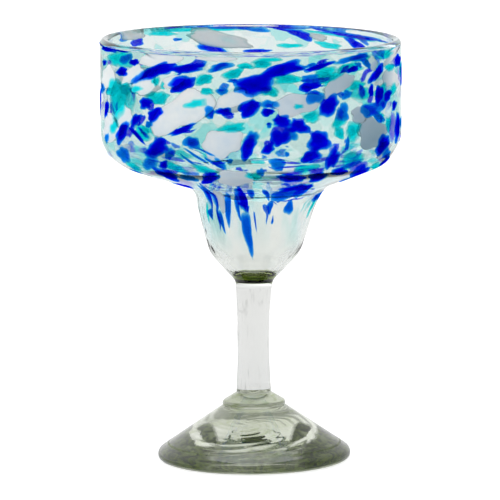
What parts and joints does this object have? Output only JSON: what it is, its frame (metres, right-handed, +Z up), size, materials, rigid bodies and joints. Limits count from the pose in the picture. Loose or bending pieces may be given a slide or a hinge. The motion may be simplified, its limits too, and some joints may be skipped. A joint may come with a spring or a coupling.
{
  "type": "margarita glass",
  "caption": "Hand-blown margarita glass: a wide bowl stepped down into a small cup, on a solid stem and a conical foot, with chips of coloured glass in the bowl's outer coat.",
  "frame": {"origin": "middle of the ring that the foot stands on, at the table's level", "axes": "+Z up along the stem, through the middle of the bowl's mouth; the glass is round about Z, and -Y faces the picture's camera"},
  "size_m": [0.12, 0.12, 0.17],
  "materials": {
    "clear_glass": "fire-polished clear glass with a faint aqua tint",
    "coat_glass": "fire-polished pale aqua glass, with thin stretched traces of the chips",
    "cobalt_glass": "deep cobalt glass, lighter at its melted edges",
    "azure_glass": "azure glass",
    "turquoise_glass": "turquoise glass",
    "white_glass": "milky white opal glass",
    "streak_glass": "blue glass drawn out thin",
    "stem_glass": "clear solid glass",
    "green_glass": "recycled glass with a grey-green tint and small flaws"
  },
  "bodies": {
    "root": {"bowl": "clear_glass", "clear_coat": "coat_glass", "cobalt_chips": "cobalt_glass", "azure_chips": "azure_glass", "turquoise_chips": "turquoise_glass", "white_chips": "white_glass", "cup_streaks": "streak_glass", "stem": "stem_glass", "collar": "green_glass", "foot": "green_glass"}
  },
  "joints": []
}
